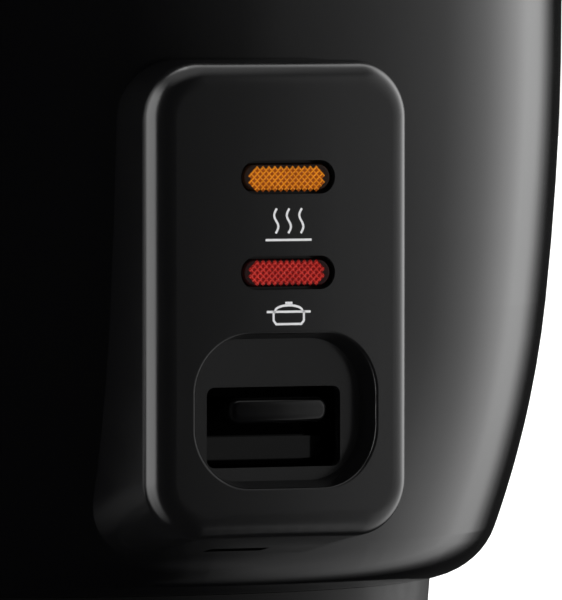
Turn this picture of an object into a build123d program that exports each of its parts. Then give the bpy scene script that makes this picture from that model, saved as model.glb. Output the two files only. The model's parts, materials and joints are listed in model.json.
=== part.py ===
from build123d import *
import math
import os

# A rice cooker, in millimetres.  The floor is z = 0, the pot's axis is the Z axis and the
# control panel faces -Y.  Everything is drawn with the pot seated and the switch up.

# ---- shell ----
body_radius = 100.0          # outside of the shell, under its rim
shell_bottom = 12.0          # underside of the shell
shell_top = 138.0            # top of the shell's rim
shell_sheet = 1.2
rim_corner = 4.0             # outside corner between the wall and the rim
flank_top = 115.0            # the wall is upright above this height
upper_flank_height = 53.6    # height of the gentle curve under that
upper_flank_radius = 508.0
lower_flank_radius = 180.0
foot_corner = 13.5           # corner between the flank and the underside
foot_flange = 14.5           # the underside's width inside the base ring
rim_width = 8.5              # the rim's width inside its corner

# ---- liner, top ring and pot ----
insulation = 12.5            # from the shell's outside to the liner's outside
liner_sheet = 0.8
liner_bottom = 38.0
liner_corner = 10.0
ring_thickness = 1.0
pot_gap = 3.2                # air between the pot and the liner
pot_wall = 1.5
pot_corner = 14.0
pot_flange = 8.0
pot_bead = 1.5
rim_gap = 0.5                # the pot hangs this far clear of the top ring

# ---- heating plate ----
plate_bottom = 46.0
plate_thickness = 10.0
plate_hole = 18.5
plate_margin = 0.5           # inside the flat of the pot's bottom
element_inset = 21.0         # from the plate's edge to the element's middle
element_radius = 4.0
element_gap_angle = 18.0     # half of the gap between the element's ends
standoff_inset = 9.0
standoff_radius = 5.0
standoff_angles = (30.0, 150.0, 270.0)

# ---- temperature sensor ----
cap_radius = 17.5
cap_wall = 0.8
cap_top_thickness = 1.2
cap_height = 14.0
cap_flange = 2.5
ferrite_radius = 11.0
ferrite_thickness = 4.0
magnet_radius = 9.5
magnet_thickness = 6.0
magnet_gap = 5.2             # air between the magnet and the ferrite with the switch up
holder_wall = 1.2
holder_flange = 13.2
sensor_cup_radius = 22.0
sensor_cup_bottom = 34.0
sensor_flange = 28.5
rod_radius = 1.5
rod_bottom = 17.0
clip_radius = 4.0
clip_thickness = 1.2
clip_gap = 0.6
spring_wire = 0.6
cap_spring_radius = 14.4
return_spring_radius = 12.3

# ---- lever and its bracket ----
pivot_y = -45.0
pivot_z = 28.0
pin_radius = 2.0
pin_clearance = 0.05
lever_sheet = 1.5
lever_width = 14.0
lever_low = 24.75            # middle of the strip behind the pivot
lever_high = 32.25           # middle of the strip in front of the pivot
lever_tail = 6.0
ear_radius = 4.0
ear_sheet = 1.2
bracket_inside = 16.0
bracket_sheet = 1.2
bracket_front = -54.0
bracket_back = -12.0
bracket_flange_back = -27.0
bracket_flange = 10.0
bracket_floor = 12.0
switch_height = 9.4
switch_length = 22.0
switch_terminal_x = 5.0
switch_terminal_rise = 4.4   # from the bracket's floor to the terminals' middle
plunger_radius = 1.2
plunger_gap = 0.3

# ---- control panel ----
panel_width = 49.8
panel_height = 80.9
panel_bottom = 24.2
panel_proud = 12.4           # the face stands this far outside the body radius
panel_corner = 10.0
panel_edge = 4.8             # rounding around the face
panel_bow = 170.0            # plan radius of the face
panel_draft = 10.0           # slope of the underside, in degrees
panel_wall = 2.2
panel_front_wall = 3.4
recess_width = 35.0
recess_height = 26.5
recess_corner = 10.5
recess_depth = 5.7
recess_draft = 11.0
recess_wall = 1.8
recess_edge = 0.5            # rounding around its mouth
recess_drop = 19.35          # from the panel's middle to the recess's middle
window_width = 25.6
window_height = 13.8
window_drop = 22.3
latch_slot_width = 10.0
latch_slot_length = 1.8
latch_slot_back = 19.0       # from the face to the latch slot
lens_hole_length = 18.0
lens_hole_height = 5.75
lens_gap = 0.5
lens_recess = 0.8
lens_flange = 1.6
lens_flange_thickness = 1.2
keep_warm_rise = 20.5        # from the panel's middle to the lens's middle
cook_rise = 4.2
lamp_radius = 2.2
lamp_length = 10.0
holder_half_width = 12.6
holder_margin = 7.0          # above and below the lenses' middles
holder_depth = 7.4           # from the panel's front wall to the holder's back
holder_sheet = 1.2
holder_ear = 3.0             # half the width of its ears
peg_x = 15.6
peg_radius = 1.2
peg_length = 8.6
resistor_radius = 1.3
resistor_length = 8.0
opening_half_width = 16.2    # opening in the shell behind the panel
opening_bottom = 23.6
opening_drop = 13.8          # from the panel's top to the opening's top
boss_radius = 3.2
boss_x = 19.3
boss_drop_from_top = 9.3

# ---- switch tab ----
tab_width = 18.8
tab_height = 4.4
tab_corner = 2.0
tab_edge = 1.4               # rounding around its front
tab_bow = 42.0               # plan radius of its front
tab_z = 45.3
tab_set_back = 2.5           # behind the face
shield_width = 23.8
shield_bottom = 32.3
shield_top = 57.4
shield_back = 12.6           # behind the face
shield_thickness = 1.6
rivet_x = 4.2
rivet_head = 2.6
step_z = 38.6
step_height = 3.8

# ---- base ----
base_step = 1.1              # the base ring stands this far outside the shell's underside
foot_height = 3.0
base_floor = 2.2
base_wall = 2.2
base_taper = 0.7             # the base ring narrows by this much to its foot
base_edge = 1.2
foot_radius = 8.0
foot_inset = 13.0
foot_stem_radius = 3.0
base_screw_inset = 8.0
base_screw_well = 4.2        # radius of the well its head sits in
base_boss_radius = 4.6
vent_slots = 20
vent_slot_width = 2.6
vent_slot_length = 15.0

# ---- handles ----
handle_reach = 26.0          # outside the body radius
handle_half_length = 44.0
handle_leg = 13.0
handle_bar = 12.0
handle_height = 14.0
handle_drop = 7.0           # below the shell's top
handle_corner = 16.0
handle_round = 3.5

# ---- mains inlet ----
inlet_reach = 10.0           # outside the body radius
inlet_z = 32.0
inlet_width = 40.0
inlet_height = 34.0
inlet_corner = 8.0
socket_width = 24.5
socket_height = 16.5
socket_depth = 17.0
plug_width = 28.0
plug_height = 18.0
blade_length = 12.4
blade_tail = 8.0
blade_spacing = 7.0
blade_drop = 4.0             # the earth blade sits this much lower
blade_thickness = 2.0
blade_height = 4.0

# ---- lid ----
lid_clearance = 0.8          # between the lid's skirt and the pot
lid_sheet = 1.0
lid_skirt = 3.0
glass_thickness = 4.0
glass_flat = 7.0
glass_rise = 24.0
lid_rim_width = 7.0
lid_rim_lip = 4.5            # the rim laps over the glass by this much
vent_radius = 45.0
vent_bore = 2.0
vent_wall = 1.2
vent_collar = 5.0
knob_radius = 19.0
knob_neck = 9.5
knob_height = 26.0
knob_crown = 4.5             # rise of its domed top
knob_band = 2.2              # upright band round its edge
knob_foot = 15.0
knob_foot_height = 3.5
knob_screw_radius = 2.5

# ---- thermostat and terminal block ----
block_x = 34.0               # the block's middle; the thermostat is its mirror image
block_front = 1.0
block_depth = 14.0
block_half_width = 10.0
block_height = 17.0
thermostat_radius = 8.0
thermostat_can = 8.0
thermostat_base = 4.0

# ---- screws and wires ----
small_screw = 1.5
large_screw = 2.0
screw_clearance = 0.3
wire_radius = 1.1

# ---- values that follow from the ones above ----
ring_bottom = shell_top + liner_sheet
ring_top = ring_bottom + ring_thickness
liner_radius = body_radius - insulation
pot_radius = liner_radius - liner_sheet - pot_gap
pot_inside = pot_radius - pot_wall
pot_top = ring_top + rim_gap + 2 * pot_bead
plate_radius = pot_radius - pot_corner - plate_margin
plate_top = plate_bottom + plate_thickness
element_ring = plate_radius - element_inset
standoff_ring = plate_radius - standoff_inset
cap_bottom = plate_top - cap_height
ferrite_bottom = plate_top - cap_top_thickness - ferrite_thickness
magnet_top = ferrite_bottom - magnet_gap
holder_bottom = magnet_top - magnet_thickness - holder_wall
face_y = -(body_radius + panel_proud)
panel_top = panel_bottom + panel_height
panel_z = panel_bottom + panel_height / 2
recess_z = panel_z - recess_drop
window_z = panel_z - window_drop
wall_y = face_y + panel_front_wall
lens_back = wall_y + lens_flange_thickness
shield_y = face_y + shield_back
lever_plate_y = shield_y + shield_thickness + lever_sheet / 2
lens_heights = (panel_z + keep_warm_rise, panel_z + cook_rise)

upper_angle = math.asin(upper_flank_height / upper_flank_radius)
upper_centre = (body_radius - upper_flank_radius, flank_top)
flank_step = upper_flank_radius - lower_flank_radius
lower_centre = (
    upper_centre[0] + flank_step * math.cos(upper_angle),
    upper_centre[1] - flank_step * math.sin(upper_angle),
)
corner_z = shell_bottom + foot_corner
corner_reach = lower_flank_radius - foot_corner
lower_angle = math.asin((lower_centre[1] - corner_z) / corner_reach)
corner_centre = (lower_centre[0] + corner_reach * math.cos(lower_angle), corner_z)
base_radius = corner_centre[0] + base_step


# ---- helpers ----
def on_arc(centre, radius, angle):
    """The (radius, height) point at an angle below the horizontal."""
    return (centre[0] + radius * math.cos(angle), centre[1] - radius * math.sin(angle))


def arc_below(centre, radius, start, end):
    """An arc about centre between two angles below the horizontal."""
    angles = (start, (start + end) / 2, end)
    return ThreePointArc(*[on_arc(centre, radius, angle) for angle in angles])


def turned(*lines):
    """A solid of revolution about Z from lines drawn in (radius, height)."""
    outline = lines[0]
    for line in lines[1:]:
        outline = outline + line
    return revolve(Plane.XZ * make_face(outline), Axis.Z)


def turned_polygon(*corners):
    """A solid of revolution about Z from its (radius, height) corners."""
    return turned(Polyline(*corners, close=True))


def ring(outer, inner, bottom, top):
    """A flat ring about Z."""
    return turned_polygon((inner, bottom), (outer, bottom), (outer, top), (inner, top))


def disc(radius, bottom, top, x=0.0, y=0.0):
    """An upright cylinder."""
    return extrude(Plane(origin=(x, y, bottom)) * Circle(radius), top - bottom)


def bar(radius, start, end):
    """A round bar between two points."""
    span = Vector(*end) - Vector(*start)
    return extrude(Plane(origin=start, z_dir=span) * Circle(radius), span.length)


def block(x, y, z):
    """A box from its (low, high) limits along each axis."""
    size = (x[1] - x[0], y[1] - y[0], z[1] - z[0])
    return Pos(sum(x) / 2, sum(y) / 2, sum(z) / 2) * Box(*size)


def inward(y, z, x=0.0):
    """A plane across the front whose normal points into the cooker."""
    return Plane(origin=(x, y, z), x_dir=(1, 0, 0), z_dir=(0, 1, 0))


def screw(seat, tip, radius):
    """A pan-head screw with a crossed recess: seat is the middle of its head's underside."""
    span = Vector(*tip) - Vector(*seat)
    plane = Plane(origin=seat, z_dir=span)
    head_radius = 1.9 * radius
    head_height = 1.2 * radius
    head = extrude(plane * Circle(head_radius), -head_height)
    far_edge = head.edges().sort_by(lambda edge: (edge.center() - Vector(*seat)).dot(span))[0]
    head = chamfer(far_edge, 0.4 * radius)
    cross = Rectangle(1.9 * radius, 0.4 * radius) + Rectangle(0.4 * radius, 1.9 * radius)
    recess = extrude(plane.offset(-head_height) * cross, 0.6 * head_height)
    return extrude(plane * Circle(radius), span.length) + head - recess


def screw_hole(seat, tip, radius):
    """The clearance hole for a screw, run past both ends."""
    span = (Vector(*tip) - Vector(*seat)).normalized() * 4
    return bar(radius + screw_clearance, Vector(*seat) - span, Vector(*tip) + span)


def ribbon(points, thickness, width, x=0.0):
    """A flat strip as wide as width along X, bent along the (y, z) points of its middle."""
    path = [Vector(*point) for point in points]
    sides = ([], [])
    for index, point in enumerate(path):
        before = (point - path[max(index - 1, 0)]).normalized() if index else None
        after = (path[index + 1] - point).normalized() if index + 1 < len(path) else None
        along = ((before or after) + (after or before)).normalized()
        half = thickness / 2 / along.dot(after or before)
        across = Vector(-along.Y, along.X) * half
        sides[0].append(point + across)
        sides[1].insert(0, point - across)
    corners = [(corner.X, corner.Y) for corner in sides[0] + sides[1]]
    face = make_face(Polyline(*corners, close=True))
    plane = Plane(origin=(x, 0, 0), x_dir=(0, 1, 0), z_dir=(1, 0, 0))
    return extrude(plane * face, width / 2, both=True)


def wire(points, radii):
    """An insulated wire through points, with a bend radius at each corner."""
    path = FilletPolyline(*points, radius=radii)
    start = Plane(origin=path @ 0, z_dir=path % 0)
    return sweep(start * Circle(wire_radius), path=path)


def coil(radius, bottom, top, turns):
    """A compression spring."""
    low = bottom + spring_wire
    high = top - spring_wire
    path = Helix(pitch=(high - low) / turns, height=high - low, radius=radius)
    start = Plane(origin=path @ 0, z_dir=path % 0)
    return Pos(0, 0, low) * sweep(start * Circle(spring_wire), path=path, is_frenet=True)


# ---- shell and everything that follows its outline ----
def body_solid(inset):
    """The shell's outline as a solid, moved inward by inset."""
    bottom = shell_bottom + inset
    top = shell_top - inset
    side = body_radius - inset
    return turned(
        Line((0, bottom), (corner_centre[0], bottom)),
        arc_below(corner_centre, foot_corner - inset, math.pi / 2, lower_angle),
        arc_below(lower_centre, lower_flank_radius - inset, lower_angle, upper_angle),
        arc_below(upper_centre, upper_flank_radius - inset, upper_angle, 0),
        Line((side, upper_centre[1]), (side, shell_top - rim_corner)),
        arc_below((body_radius - rim_corner, shell_top - rim_corner), rim_corner - inset,
                  0, -math.pi / 2),
        Polyline((body_radius - rim_corner, top), (0, top), (0, bottom)),
    )


def wall_radius(z, inset=0.0):
    """The radius of the shell's wall at a height, moved inward by inset."""
    centre, radius = upper_centre, upper_flank_radius - inset
    if z >= centre[1]:
        return centre[0] + radius
    if z < on_arc(centre, radius, upper_angle)[1]:
        centre, radius = lower_centre, lower_flank_radius - inset
    if z < on_arc(centre, radius, lower_angle)[1]:
        centre, radius = corner_centre, foot_corner - inset
    return centre[0] + math.sqrt(radius ** 2 - (centre[1] - z) ** 2)


def panel_block(inset):
    """The panel housing's block, with its sides moved inward by inset."""
    slope = math.tan(math.radians(panel_draft))
    back = -(body_radius - panel_proud - 10)
    low = panel_bottom + inset / math.cos(math.radians(panel_draft))
    low_back = low - (back - face_y) * slope
    high = panel_top - inset
    side_view = Polyline((face_y, low), (back, low_back), (back, high), (face_y, high), close=True)
    plane = Plane(origin=(0, 0, 0), x_dir=(0, 1, 0), z_dir=(1, 0, 0))
    solid = extrude(plane * make_face(side_view), panel_width / 2 - inset, both=True)
    long_edges = solid.edges().filter_by(lambda edge: abs(edge.tangent_at(0.5).Y) > 0.9)
    return fillet(long_edges, panel_corner - inset)


def panel_screw_points(side):
    """Where a panel screw's head seats inside the shell, and where its tip ends."""
    z = panel_top - boss_drop_from_top
    x = side * boss_x
    reach = boss_x + 1.9 * small_screw
    seat_y = -math.sqrt(wall_radius(z - 1.9 * small_screw, shell_sheet) ** 2 - reach ** 2)
    return (x, seat_y, z), (x, wall_y + 2.0, z)


def peg_points():
    """The two pegs that hold the lamp holder."""
    z = (lens_heights[0] + lens_heights[1]) / 2
    return [(side * peg_x, z) for side in (-1, 1)]


def make_panel_housing(envelope):
    solid = panel_block(0)
    bow = Pos(0, face_y + panel_bow, 0) * Cylinder(panel_bow, 4 * panel_height)
    solid = solid & bow
    front = solid.faces().sort_by(Axis.Y)[0]
    solid = fillet(front.edges(), panel_edge)
    cavity = panel_block(panel_wall) & block(
        (-panel_width, panel_width), (wall_y, 0), (0, 2 * panel_top))
    solid = solid - cavity
    pocket = RectangleRounded(recess_width + 2 * recess_wall, recess_height + 2 * recess_wall,
                              recess_corner + recess_wall)
    solid = solid + extrude(inward(wall_y - 0.5, recess_z) * pocket,
                            recess_depth + recess_wall - panel_front_wall + 0.5)
    z = panel_top - boss_drop_from_top
    for side in (-1, 1):
        solid = solid + extrude(inward(wall_y, z, side * boss_x) * Circle(boss_radius), 30)
    for x, peg_z in peg_points():
        solid = solid + extrude(inward(wall_y, peg_z, x) * Circle(peg_radius), peg_length)
    recess = RectangleRounded(recess_width, recess_height, recess_corner)
    solid = solid - extrude(inward(face_y, recess_z) * recess, recess_depth, taper=recess_draft)
    rim_reach = recess_height / 2 + 1
    rim = [edge for edge in solid.edges()
           if edge.center().Y < wall_y - 2.5 and abs(edge.center().Z - recess_z) < rim_reach
           and abs(edge.center().X) < recess_width / 2 + 1]
    solid = fillet(rim, recess_edge)
    window = RectangleRounded(window_width, window_height, 1.5)
    solid = solid - extrude(inward(face_y, window_z) * window, 20)
    for lens_z in lens_heights:
        hole = SlotOverall(lens_hole_length, lens_hole_height)
        solid = solid - extrude(inward(face_y - 1, lens_z) * hole, 12)
    slot = Rectangle(latch_slot_width, latch_slot_length)
    slot_y = face_y + latch_slot_back
    solid = solid - extrude(Plane(origin=(0, slot_y, panel_bottom - 10)) * slot, 10.5)
    for side in (-1, 1):
        seat, tip = panel_screw_points(side)
        solid = solid - bar(small_screw, seat, tip)
    return solid - envelope


def inlet_screw_points(side):
    """Where an inlet screw's head seats inside the shell, and where its tip ends."""
    x = side * (plug_width / 2 + 1.9 * small_screw + 0.6)
    z = inlet_z
    reach = abs(x) + 1.9 * small_screw
    seat_y = math.sqrt(wall_radius(z - 1.9 * small_screw, shell_sheet) ** 2 - reach ** 2)
    return (x, seat_y, z), (x, seat_y + 10, z)


def handle_screw_points(side, end):
    """Where a handle screw's head seats inside the shell, and where its tip ends."""
    z = shell_top - handle_drop - handle_height / 2
    angle = math.asin((handle_half_length - handle_leg / 2 - 2) / body_radius) * end
    inner = wall_radius(z, shell_sheet)
    seat = math.sqrt(inner ** 2 - (1.9 * large_screw) ** 2) - 0.02
    ray = Vector(side * math.cos(angle), math.sin(angle))
    height = Vector(0, 0, z)
    return tuple(ray * seat + height), tuple(ray * (wall_radius(z) + 9) + height)


def base_screw_points(index):
    """Where a base screw's head seats in the base, and where its tip ends."""
    angle = math.radians(90 * index)
    reach = base_radius - base_screw_inset
    x, y = reach * math.cos(angle), reach * math.sin(angle)
    return (x, y, foot_height + 4), (x, y, shell_bottom + shell_sheet + 3)


def sides():
    return [(side, end) for side in (-1, 1) for end in (-1, 1)]


def make_outer_shell(envelope):
    solid = envelope - body_solid(shell_sheet)
    rim_inside = body_radius - rim_corner - rim_width
    solid = solid - disc(rim_inside, shell_top - 5, shell_top + 5)
    solid = solid - disc(base_radius - foot_flange, shell_bottom - 5, shell_bottom + 5)
    opening_top = panel_top - opening_drop
    middle = (opening_bottom + opening_top) / 2
    opening = RectangleRounded(2 * opening_half_width, opening_top - opening_bottom, 4)
    solid = solid - extrude(inward(face_y, middle) * opening, 45)
    plug = RectangleRounded(plug_width + 1, plug_height + 1, 3)
    solid = solid - extrude(inward(body_radius - 40, inlet_z) * plug, 60)
    for side in (-1, 1):
        solid = solid - screw_hole(*panel_screw_points(side), small_screw)
        solid = solid - screw_hole(*inlet_screw_points(side), small_screw)
    for side, end in sides():
        solid = solid - screw_hole(*handle_screw_points(side, end), large_screw)
    for index in range(4):
        solid = solid - screw_hole(*base_screw_points(index), large_screw)
    return solid


def make_handle(side, envelope):
    reach = body_radius + handle_reach
    outer = Pos(side * reach / 2, 0) * Rectangle(reach, 2 * handle_half_length)
    corners = outer.vertices().filter_by(lambda vertex: abs(vertex.X) > body_radius)
    outer = fillet(corners, handle_corner)
    inner_reach = reach - handle_bar
    half = handle_half_length - handle_leg
    inner = Pos(side * inner_reach / 2, 0) * Rectangle(inner_reach, 2 * half)
    corners = inner.vertices().filter_by(lambda vertex: abs(vertex.X) > body_radius)
    inner = fillet(corners, handle_corner - 8)
    low = shell_top - handle_drop - handle_height
    solid = extrude(Plane(origin=(0, 0, low)) * (outer - inner), handle_height)
    keep = abs(body_radius - handle_leg)
    solid = solid - block((-keep, keep), (-body_radius, body_radius), (0, 2 * shell_top))
    rims = solid.edges().filter_by(Plane.XY)
    solid = fillet(rims, handle_round)
    solid = solid - envelope
    for end in (-1, 1):
        seat, tip = handle_screw_points(side, end)
        solid = solid - bar(large_screw, seat, tip)
    return solid


def make_handle_screws():
    return [screw(*handle_screw_points(side, end), large_screw) for side, end in sides()]


def make_inlet_socket(envelope):
    front = body_radius + inlet_reach
    boss = RectangleRounded(inlet_width, inlet_height, inlet_corner)
    solid = extrude(inward(0, inlet_z) * boss, front)
    rim = solid.faces().sort_by(Axis.Y)[-1].edges()
    solid = fillet(rim, 3) - envelope
    plug = RectangleRounded(plug_width, plug_height, 3)
    inner = extrude(inward(liner_radius - 1, inlet_z) * plug, front - liner_radius - 4)
    socket = RectangleRounded(socket_width, socket_height, 3)
    mouth = extrude(inward(front - socket_depth, inlet_z) * socket, socket_depth + 5)
    solid = solid + inner - mouth
    for blade in blades():
        solid = solid - blade
    for side in (-1, 1):
        seat, tip = inlet_screw_points(side)
        solid = solid - bar(small_screw, seat, tip)
    return solid


def blades():
    """The inlet's three contact blades."""
    front = body_radius + inlet_reach
    tip = front - socket_depth + blade_length
    tail = liner_radius - 1 - blade_tail
    places = ((-blade_spacing, 0), (0, -blade_drop), (blade_spacing, 0))
    half, rise = blade_thickness / 2, blade_height / 2
    return [block((x - half, x + half), (tail, tip), (inlet_z + z - rise, inlet_z + z + rise))
            for x, z in places]


# ---- base ----
def make_base_cover():
    top = shell_bottom
    floor_top = foot_height + base_floor
    solid = turned_polygon((0, foot_height), (base_radius - base_taper, foot_height),
                           (base_radius, top), (0, top))
    low_rim = solid.edges().sort_by(Axis.Z)[0]
    solid = fillet(low_rim, base_edge)
    solid = solid - disc(base_radius - base_wall - base_taper, floor_top, top + 1)
    for index in range(4):
        x, y, seat_z = base_screw_points(index)[0]
        solid = solid + disc(base_boss_radius, foot_height, top, x, y)
        solid = solid - disc(base_screw_well, 0, seat_z, x, y)
        solid = solid - disc(large_screw + screw_clearance, 0, top + 1, x, y)
    for index in range(4):
        x, y = foot_centre(index)
        solid = solid - disc(foot_stem_radius, 0, floor_top + 1, x, y)
    slot = SlotOverall(vent_slot_length, vent_slot_width)
    slot_ring = base_radius - foot_inset - foot_radius - vent_slot_length / 2 - 4
    for index in range(vent_slots):
        place = Rot(0, 0, 360 * index / vent_slots) * Pos(slot_ring, 0, 0)
        solid = solid - extrude(place * slot, floor_top + 1)
    return solid


def foot_centre(index):
    angle = math.radians(45 + 90 * index)
    reach = base_radius - foot_inset
    return reach * math.cos(angle), reach * math.sin(angle)


def make_rubber_feet():
    feet = []
    for index in range(4):
        x, y = foot_centre(index)
        pad = disc(foot_radius, 0, foot_height, x, y)
        pad = chamfer(pad.edges().sort_by(Axis.Z)[0], 0.6)
        seat = foot_height + base_floor
        stem = disc(foot_stem_radius, foot_height, seat, x, y)
        button = disc(1.4 * foot_stem_radius, seat, seat + 1.6, x, y)
        feet.append(pad + stem + button)
    return feet


def make_base_screws():
    return [screw(*base_screw_points(index), large_screw) for index in range(4)]


# ---- liner, ring and pot ----
def standoff_centre(angle):
    turn = math.radians(angle)
    return standoff_ring * math.cos(turn), standoff_ring * math.sin(turn)


def plate_screw_points(angle):
    x, y = standoff_centre(angle)
    return (x, y, liner_bottom), (x, y, plate_bottom + 5)


def element_ends():
    angles = [math.radians(90 + side * element_gap_angle) for side in (1, -1)]
    return [(element_ring * math.cos(angle), element_ring * math.sin(angle)) for angle in angles]


def cup(radius, bottom, top, corner):
    """A flat-bottomed cup's outside, up to top."""
    arc = arc_below((radius - corner, bottom + corner), corner, math.pi / 2, 0)
    return turned(
        Line((0, bottom), (radius - corner, bottom)),
        arc,
        Polyline((radius, bottom + corner), (radius, top), (0, top), (0, bottom)),
    )


def bracket_screw_points():
    places = []
    for side in (-1, 1):
        for y in (bracket_front + 6, bracket_flange_back - 6):
            x = side * (bracket_inside / 2 + bracket_sheet + bracket_flange / 2)
            places.append(((x, y, liner_bottom - bracket_sheet), (x, y, liner_bottom + 3)))
    return places


def earth_screw_points():
    y = liner_radius - blade_tail - 14
    return (0, y, liner_bottom - 1), (0, y, liner_bottom + 3)


def make_inner_liner():
    outer = cup(liner_radius, liner_bottom, shell_top + liner_sheet, liner_corner)
    inner = cup(liner_radius - liner_sheet, liner_bottom + liner_sheet, ring_top,
                liner_corner - liner_sheet)
    flange = ring(body_radius - rim_corner - 1.5, liner_radius - 0.4, shell_top, ring_bottom)
    solid = outer + flange - inner
    solid = solid - disc(sensor_cup_radius + 2, liner_bottom - 1, liner_bottom + 2)
    for x, y in element_ends():
        solid = solid - disc(element_radius + 2, liner_bottom - 1, liner_bottom + 2, x, y)
    for angle in standoff_angles:
        solid = solid - screw_hole(*plate_screw_points(angle), large_screw)
    for points in bracket_screw_points() + [earth_screw_points()]:
        solid = solid - bar(small_screw, *points)
    return solid


def make_top_ring():
    inner = liner_radius + 0.8
    outer = body_radius - rim_corner
    lip = outer - 1.2
    return turned_polygon((inner, ring_bottom), (lip, ring_bottom), (lip, shell_top),
                          (outer, shell_top), (outer, ring_top - 0.4), (outer - 0.4, ring_top),
                          (inner, ring_top))


def make_inner_pot():
    outer = cup(pot_radius, plate_top, pot_top, pot_corner)
    inner = cup(pot_inside, plate_top + pot_wall, pot_top + 5, pot_corner - pot_wall)
    edge = pot_radius + pot_flange
    flange = ring(edge, pot_inside, pot_top - pot_wall, pot_top)
    bead = revolve(Pos(edge, 0, pot_top - pot_bead) * (Plane.XZ * Circle(pot_bead)), Axis.Z)
    return outer + flange + bead - inner


def make_keep_warm_heater():
    low = plate_top + 4
    band = ring(liner_radius + 1.4, liner_radius, low, low + 24)
    gap = block((-6, 6), (0, body_radius), (low - 1, low + 25))
    return band - gap


# ---- heating plate ----
def make_element():
    arc = (360 - 2 * element_gap_angle)
    circle = Pos(element_ring, 0, plate_bottom) * (Plane.XZ * Circle(element_radius))
    body = revolve(circle, Axis.Z, arc)
    body = Rot(0, 0, 90 + element_gap_angle) * body
    for x, y in element_ends():
        body = body + disc(element_radius, liner_bottom - 2, plate_bottom, x, y)
        body = body + Pos(x, y, plate_bottom) * Sphere(element_radius)
    return body


def make_heating_plate(element):
    solid = disc(plate_radius, plate_bottom, plate_top)
    solid = chamfer(solid.edges().sort_by(Axis.Z)[-1], 1.2)
    solid = solid - disc(plate_hole, plate_bottom - 1, plate_top + 1)
    for angle in standoff_angles:
        seat, tip = plate_screw_points(angle)
        solid = solid - bar(large_screw, seat, tip)
    for seat, tip in sensor_screw_points():
        solid = solid - bar(small_screw, seat, tip)
    seat, tip = fuse_screw_points()
    solid = solid - bar(small_screw, seat, tip)
    return solid - element


def make_plate_standoffs():
    posts = []
    for angle in standoff_angles:
        x, y = standoff_centre(angle)
        post = disc(standoff_radius, liner_bottom + liner_sheet, plate_bottom, x, y)
        posts.append(post - screw_hole(*plate_screw_points(angle), large_screw))
    return posts


def make_plate_screws():
    return [screw(*plate_screw_points(angle), large_screw) for angle in standoff_angles]


def make_element_terminals():
    pins = []
    for x, y in element_ends():
        pin = disc(1.4, liner_bottom - 9, liner_bottom - 2, x, y)
        bead = disc(2.6, liner_bottom - 4, liner_bottom - 2, x, y)
        pins.append(pin + bead)
    return pins


def fuse_centre():
    return -standoff_ring, 0.0, plate_bottom - 2.6


def fuse_screw_points():
    x, y, z = fuse_centre()
    return (x - 5.8, y, plate_bottom - 1), (x - 5.8, y, plate_bottom + 3)


def make_thermal_fuse():
    x, y, z = fuse_centre()
    can = bar(2, (x, y - 6, z), (x, y + 6, z))
    return can + bar(0.5, (x, y - 12, z), (x, y + 12, z))


def make_fuse_clip(fuse):
    x, y, z = fuse_centre()
    saddle = block((x - 2.8, x + 2.8), (y - 4, y + 4), (z - 3, plate_bottom))
    tongue = block((x - 8.4, x - 2.8), (y - 4, y + 4), (plate_bottom - 1, plate_bottom))
    return saddle + tongue - fuse - bar(small_screw, *fuse_screw_points())


# ---- temperature sensor ----
def sensor_screw_points():
    reach = sensor_cup_radius + 1.9 * small_screw + 0.4
    return [((side * reach, 0, plate_bottom - liner_sheet), (side * reach, 0, plate_bottom + 4))
            for side in (-1, 1)]


def make_sensor_cap():
    wall = cap_radius - cap_wall
    solid = disc(cap_radius, cap_bottom, plate_top)
    solid = fillet(solid.edges().sort_by(Axis.Z)[-1], 1.0)
    solid = solid + disc(cap_radius + cap_flange, cap_bottom, cap_bottom + cap_wall)
    return solid - disc(wall, cap_bottom - 1, plate_top - cap_top_thickness)


def make_sensor_cup():
    sheet = liner_sheet
    solid = disc(sensor_cup_radius, sensor_cup_bottom, plate_bottom)
    solid = solid + disc(sensor_flange, plate_bottom - sheet, plate_bottom)
    solid = solid - disc(sensor_cup_radius - sheet, sensor_cup_bottom + sheet, plate_bottom + 1)
    solid = solid - disc(rod_radius + 0.7, 0, plate_bottom)
    for points in sensor_screw_points():
        solid = solid - bar(small_screw, *points)
    return solid


def make_magnet_holder():
    outer = magnet_radius + holder_wall
    solid = disc(outer, holder_bottom, magnet_top)
    solid = solid + disc(holder_flange, holder_bottom, holder_bottom + 0.8)
    return solid - disc(magnet_radius, holder_bottom + holder_wall, magnet_top + 1)


def make_pull_rod():
    return disc(rod_radius, rod_bottom, holder_bottom)


def clip_bottom():
    return lever_low + lever_sheet / 2 + clip_gap


# ---- lever ----
def pivot_hole(clearance):
    return bar(pin_radius + clearance, (-30, pivot_y, pivot_z), (30, pivot_y, pivot_z))


def make_switch_lever():
    strip = ribbon(
        [(lever_tail, lever_low), (pivot_y - 11, lever_low), (pivot_y - 25, lever_high),
         (lever_plate_y, lever_high), (lever_plate_y, shield_top - 8)],
        lever_sheet, lever_width)
    half = lever_width / 2
    for side in (-1, 1):
        limits = sorted((side * half, side * (half - ear_sheet)))
        ear = bar(ear_radius, (limits[0], pivot_y, pivot_z), (limits[1], pivot_y, pivot_z))
        web = block(limits, (pivot_y - ear_radius, pivot_y + ear_radius), (lever_low, pivot_z))
        strip = strip + ear + web
    slot = SlotOverall(8, 2 * rod_radius + 1.2)
    strip = strip - extrude(Plane(origin=(0, 0, lever_low - 3)) * (Rot(0, 0, 90) * slot), 6)
    for x in (-rivet_x, rivet_x):
        strip = strip - bar(small_screw, (x, lever_plate_y - 2, tab_z), (x, lever_plate_y + 2, tab_z))
    return strip - pivot_hole(pin_clearance)


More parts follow.
